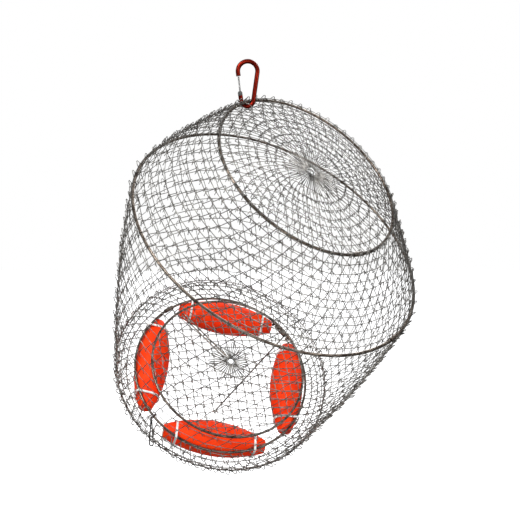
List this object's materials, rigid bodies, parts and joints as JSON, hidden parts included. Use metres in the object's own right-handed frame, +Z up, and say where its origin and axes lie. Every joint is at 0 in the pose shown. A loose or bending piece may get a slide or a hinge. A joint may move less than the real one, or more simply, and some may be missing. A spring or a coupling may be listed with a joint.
{
  "type": "collapsible wire trap basket",
  "caption": "Knitted wire basket on steel hoops with foam floats round a sprung lid, hung by a snap clip from its base hoop.",
  "frame": {"origin": "inner top of the clip's eye, where the basket hangs", "axes": "+Z up against gravity, +X to the clip frame's straight arm, +Y away from the side the clip's face is seen from"},
  "size_m": [0.3576, 0.2878, 0.4635],
  "materials": {
    "clip_red": "satin",
    "bright_wire": "satin",
    "hoop_steel": "satin",
    "mesh_wire": "satin",
    "float_foam": "matte",
    "tie_white": "matte"
  },
  "bodies": {
    "clip": {"carabiner_frame": "clip_red", "gate_pivot": "bright_wire"},
    "gate": {"carabiner_gate": "bright_wire"},
    "base": {"base_hoop": "hoop_steel", "base_hoop_ferrule": "hoop_steel", "base_mesh": "mesh_wire", "base_gather_ring": "bright_wire", "upper_wall": "mesh_wire"},
    "middle": {"middle_hoop": "hoop_steel", "middle_hoop_ferrule": "hoop_steel", "lower_wall": "mesh_wire"},
    "neck": {"shoulder_mesh": "mesh_wire", "float_ring": "hoop_steel", "float_1": "float_foam", "float_2": "float_foam", "float_3": "float_foam", "float_4": "float_foam", "float_ties": "tie_white", "ring_wrap": "hoop_steel", "lid_hinge_bail": "hoop_steel"},
    "lid": {"lid_ring": "hoop_steel", "lid_eyelets": "hoop_steel", "lid_mesh": "mesh_wire", "lid_gather_ring": "bright_wire", "lid_spring": "hoop_steel", "lid_stay": "hoop_steel"},
    "snap": {"snap_clip": "bright_wire"}
  },
  "joints": [
    {"name": "gate_hinge", "type": "hinge", "parent": "clip", "child": "gate", "pos_m": [-0.00775, 0, -0.0349], "axis": [0, 1, 0], "range_deg": [0, 25], "stiffness_Nm_per_rad": 0.02, "springref_deg": -28.65},
    {"name": "basket_swing", "type": "hinge", "parent": "clip", "child": "base", "pos_m": [0.0012, 0, -0.0441], "axis": [0.6286, 0.7234, 0.2856], "range_deg": [-20, 20]},
    {"name": "collapse_upper", "type": "slide", "parent": "base", "child": "middle", "axis": [0.3437, -0.6186, 0.7065], "range_m": [0, 0.07], "deforming": ["upper_wall"]},
    {"name": "collapse_lower", "type": "slide", "parent": "middle", "child": "neck", "axis": [0.3821, -0.1384, 0.9137], "range_m": [0, 0.12], "deforming": ["lower_wall"]},
    {"name": "lid_hinge", "type": "hinge", "parent": "neck", "child": "lid", "pos_m": [0.04107, 0.10568, -0.31452], "axis": [0.6474, -0.3198, -0.6917], "range_deg": [-80, 0], "stiffness_Nm_per_rad": 0.05, "springref_deg": 68.75},
    {"name": "snap_swing", "type": "hinge", "parent": "neck", "child": "snap", "pos_m": [-0.10661, -0.00217, -0.40287], "axis": [-0.6474, 0.3198, 0.6917], "range_deg": [-10, 20]}
  ]
}
